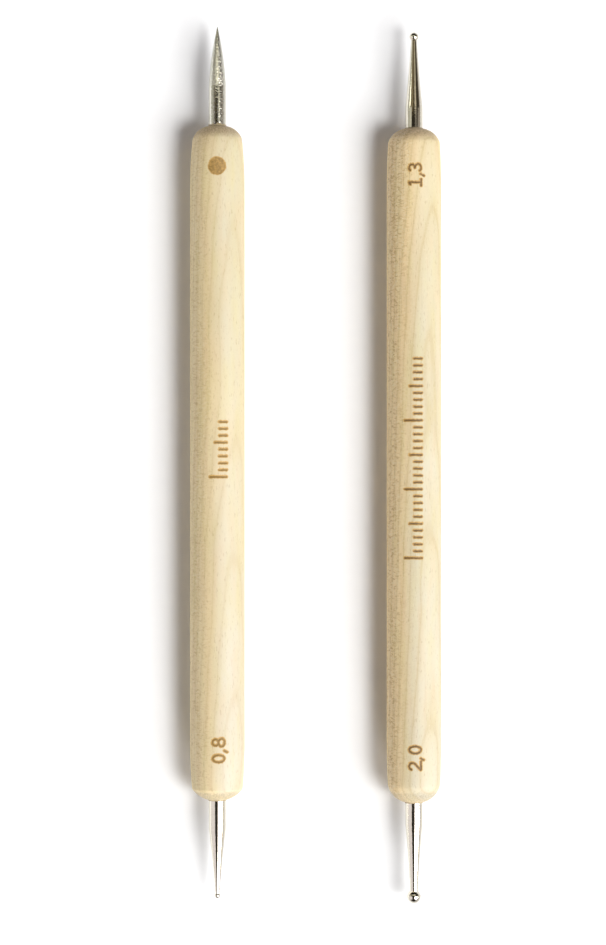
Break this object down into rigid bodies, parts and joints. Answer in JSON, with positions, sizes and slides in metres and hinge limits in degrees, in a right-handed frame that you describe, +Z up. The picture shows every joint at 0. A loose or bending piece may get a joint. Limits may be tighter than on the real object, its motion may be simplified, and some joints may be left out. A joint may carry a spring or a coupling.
{
  "type": "embossing stylus",
  "caption": "Pair of double-ended embossing styluses: turned wooden handles with glued steel shanks that end in small balls or a needle, for tracing and pricking paper.",
  "frame": {"origin": "on the surface that the pair lies on, below the middle of the pair's bounding box", "axes": "+Z up, +Y along both styluses toward the needle and the medium ball, +X from the needle stylus to the ball stylus"},
  "size_m": [0.0368, 0.1284, 0.008],
  "materials": {
    "maple_wood": "sanded, uncoated",
    "nickel_plated_steel": "polished",
    "cured_glue": "clear amber"
  },
  "bodies": {
    "ball_stylus": {"ball_stylus_handle": "maple_wood", "large_shank": "nickel_plated_steel", "large_ball": "nickel_plated_steel", "large_shank_glue": "cured_glue", "medium_shank": "nickel_plated_steel", "medium_ball": "nickel_plated_steel", "medium_shank_glue": "cured_glue"},
    "needle_stylus": {"needle_stylus_handle": "maple_wood", "fine_shank": "nickel_plated_steel", "fine_ball": "nickel_plated_steel", "fine_shank_glue": "cured_glue", "needle": "nickel_plated_steel", "needle_glue": "cured_glue"}
  },
  "joints": [
    {"name": "needle_stylus_aside", "type": "slide", "parent": "ball_stylus", "child": "needle_stylus", "axis": [-1, 0, 0], "range_m": [0, 0.1]}
  ]
}
